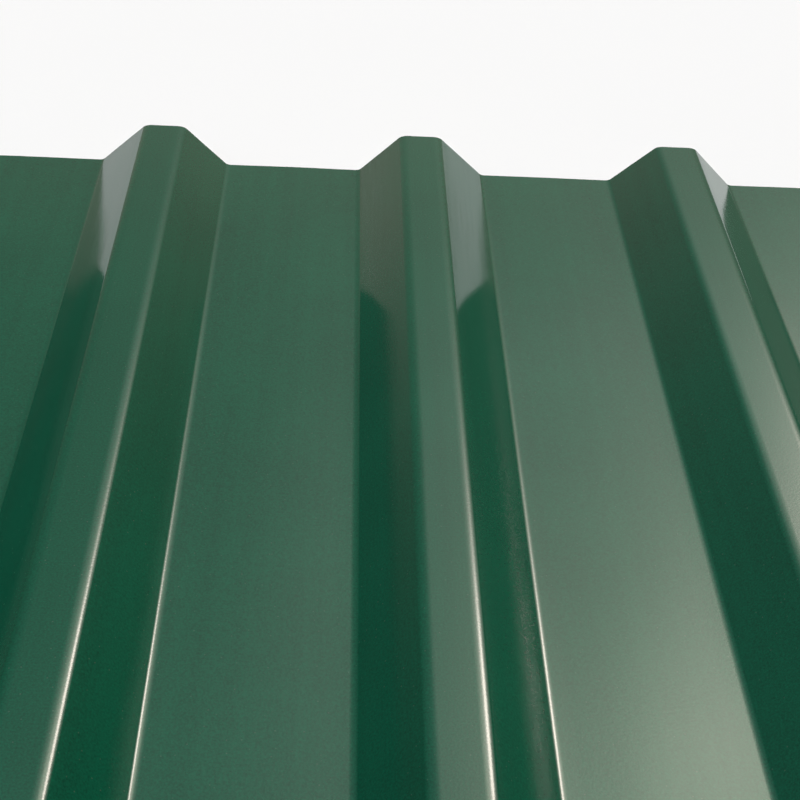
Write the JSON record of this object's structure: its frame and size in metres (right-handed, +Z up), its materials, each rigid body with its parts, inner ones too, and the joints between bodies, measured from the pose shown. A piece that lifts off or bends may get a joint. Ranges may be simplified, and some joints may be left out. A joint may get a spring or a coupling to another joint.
{
  "type": "trapezoidal corrugated metal sheet",
  "caption": "Trapezoidal corrugated steel sheet for roofs and walls: narrow raised ribs, wide flat pans, an underlap lip on one side and a short overlap web on the other.",
  "frame": {"origin": "on the plane that the pans rest on, below the middle of the sheet's width and length", "axes": "+Y along the ribs, +X across them towards the overlap rib, +Z up out of the painted face"},
  "size_m": [1.1078, 2, 0.0406],
  "materials": {
    "green_coated_steel": "gloss"
  },
  "bodies": {
    "root": {"ribbed_sheet": "green_coated_steel"}
  },
  "joints": []
}
